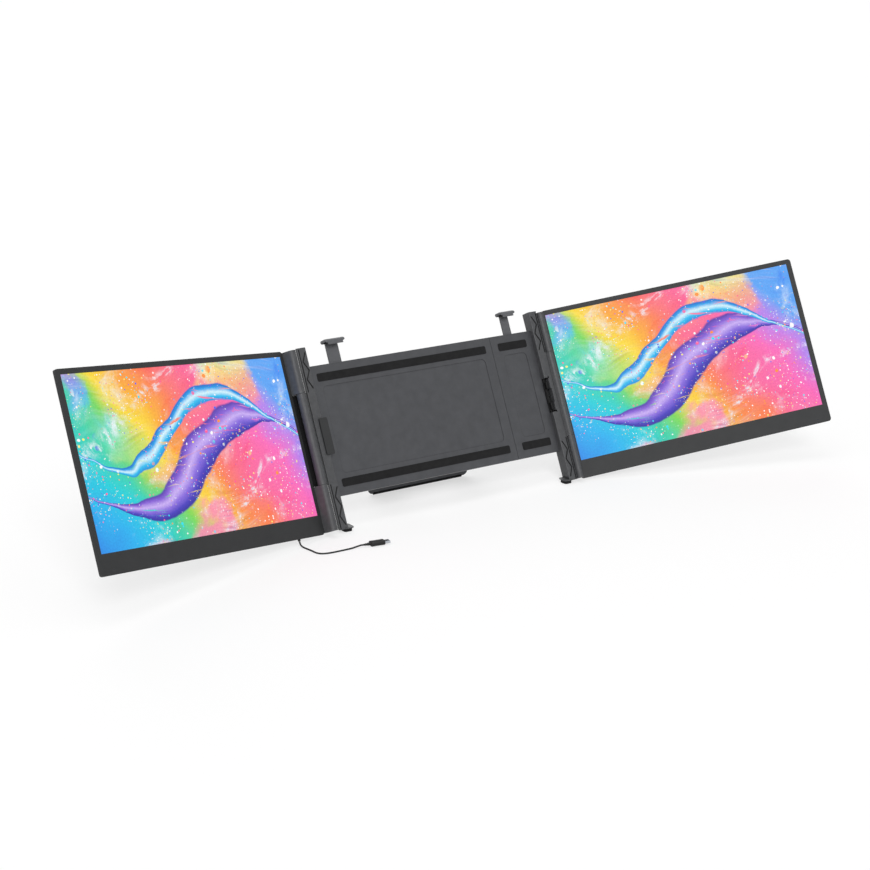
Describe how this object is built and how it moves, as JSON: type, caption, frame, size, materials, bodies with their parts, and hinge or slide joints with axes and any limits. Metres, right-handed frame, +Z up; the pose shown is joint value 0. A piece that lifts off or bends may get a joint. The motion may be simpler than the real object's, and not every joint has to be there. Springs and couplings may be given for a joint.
{
  "type": "laptop screen extender",
  "caption": "Leaning bracket that grips a laptop lid between columns, with a slim monitor hinged on each side, a kickstand, sliding width and a USB-C lead.",
  "frame": {"origin": "on the desk, midway between the two columns, where the plane of their front faces meets the desk", "axes": "+X to the user's right along the row of screens, +Y away from the user, +Z up"},
  "size_m": [1.0595, 0.2179, 0.2567],
  "materials": {
    "column_metal": "bead-blasted, anodised dark grey",
    "housing_metal": "bead-blasted, anodised dark grey",
    "monitor_shell": "fine moulded texture, dark grey",
    "clip_plastic": "fine moulded texture, grey",
    "slide_metal": "brushed",
    "steel": "zinc plated",
    "rubber": "matt",
    "display": "low-gloss display film over glass",
    "light_guide": "satin",
    "circuit_board": "solder mask",
    "led_window": "smoked light pipe",
    "cable_jacket": "soft matt jacket"
  },
  "bodies": {
    "base_frame": {"left_column": "column_metal", "left_foot_pad": "rubber", "left_side_hook": "clip_plastic", "left_hinge_pin": "steel", "housing_front": "housing_metal", "housing_rear": "housing_metal", "slide_rails": "steel", "left_lid_pad": "rubber", "housing_screws": "steel", "kickstand_ears": "column_metal", "kickstand_pin": "steel", "clip_springs_left": "steel", "cable": "cable_jacket", "plug_strain_relief": "cable_jacket", "plug_grip": "cable_jacket", "plug_shell": "steel"},
    "slide_frame": {"right_column": "column_metal", "right_foot_pad": "rubber", "right_hinge_pin": "steel", "slide_plate": "slide_metal", "end_housing_front": "housing_metal", "end_housing_rear": "housing_metal", "right_lid_pad": "rubber", "end_screws": "steel", "pusher_springs": "steel", "clip_springs_right": "steel"},
    "side_pusher": {"side_pusher": "clip_plastic", "pusher_pad": "rubber"},
    "left_top_clip": {"left_top_clip": "clip_plastic", "left_clip_pad": "rubber"},
    "right_top_clip": {"right_top_clip": "clip_plastic", "right_clip_pad": "rubber"},
    "kickstand": {"kickstand_plate": "housing_metal", "kickstand_foot": "rubber"},
    "left_monitor": {"left_bezel": "monitor_shell", "left_gap_strip": "rubber", "left_lcd_panel": "display", "left_backlight": "light_guide", "left_driver_board": "circuit_board", "left_rear_cover": "monitor_shell", "left_upper_knuckle": "column_metal", "left_lower_knuckle": "column_metal", "left_cover_screws": "steel", "left_status_led": "led_window", "cable_gland": "rubber"},
    "right_monitor": {"right_bezel": "monitor_shell", "right_lcd_panel": "display", "right_backlight": "light_guide", "right_driver_board": "circuit_board", "right_rear_cover": "monitor_shell", "right_upper_knuckle": "column_metal", "right_lower_knuckle": "column_metal", "right_cover_screws": "steel", "right_status_led": "led_window", "right_usb_port": "steel"},
    "left_power_button": {"left_power_button": "clip_plastic"},
    "left_menu_button": {"left_menu_button": "clip_plastic"},
    "right_power_button": {"right_power_button": "clip_plastic"},
    "right_menu_button": {"right_menu_button": "clip_plastic"}
  },
  "joints": [
    {"name": "bracket_width", "type": "slide", "parent": "base_frame", "child": "slide_frame", "axis": [1, 0, 0], "range_m": [0, 0.055]},
    {"name": "left_screen_fold", "type": "hinge", "parent": "base_frame", "child": "left_monitor", "pos_m": [-0.1895, -0.00453, 0.00211], "axis": [0, 0.4226, 0.9063], "range_deg": [-20, 160]},
    {"name": "right_screen_fold", "type": "hinge", "parent": "slide_frame", "child": "right_monitor", "pos_m": [0.1832, 0, 0], "axis": [0, -0.4226, -0.9063], "range_deg": [-19, 161]},
    {"name": "kickstand_fold", "type": "hinge", "parent": "base_frame", "child": "kickstand", "pos_m": [0, 0.06975, 0.1065], "axis": [-1, 0, 0], "range_deg": [0, 43.52]},
    {"name": "left_clip_lift", "type": "slide", "parent": "base_frame", "child": "left_top_clip", "axis": [0, 0.4226, 0.9063], "range_m": [0, 0.022], "stiffness_N_per_m": 60, "springref_m": -0.012, "deforming": ["clip_springs_left"]},
    {"name": "right_clip_lift", "type": "slide", "parent": "slide_frame", "child": "right_top_clip", "axis": [0, 0.4226, 0.9063], "range_m": [0, 0.022], "stiffness_N_per_m": 60, "springref_m": -0.012, "deforming": ["clip_springs_right"]},
    {"name": "pusher_slide", "type": "slide", "parent": "slide_frame", "child": "side_pusher", "axis": [1, 0, 0], "range_m": [0, 0.0022], "stiffness_N_per_m": 300, "springref_m": -0.002, "deforming": ["pusher_springs"]},
    {"name": "left_power_press", "type": "slide", "parent": "left_monitor", "child": "left_power_button", "axis": [0.342, -0.8517, 0.3971], "range_m": [0, 0.0006], "stiffness_N_per_m": 400, "springref_m": -0.0008},
    {"name": "left_menu_press", "type": "slide", "parent": "left_monitor", "child": "left_menu_button", "axis": [0.342, -0.8517, 0.3971], "range_m": [0, 0.0006], "stiffness_N_per_m": 400, "springref_m": -0.0008},
    {"name": "right_power_press", "type": "slide", "parent": "right_monitor", "child": "right_power_button", "axis": [-0.3256, -0.8569, 0.3996], "range_m": [0, 0.0006], "stiffness_N_per_m": 400, "springref_m": -0.0008},
    {"name": "right_menu_press", "type": "slide", "parent": "right_monitor", "child": "right_menu_button", "axis": [-0.3256, -0.8569, 0.3996], "range_m": [0, 0.0006], "stiffness_N_per_m": 400, "springref_m": -0.0008}
  ]
}
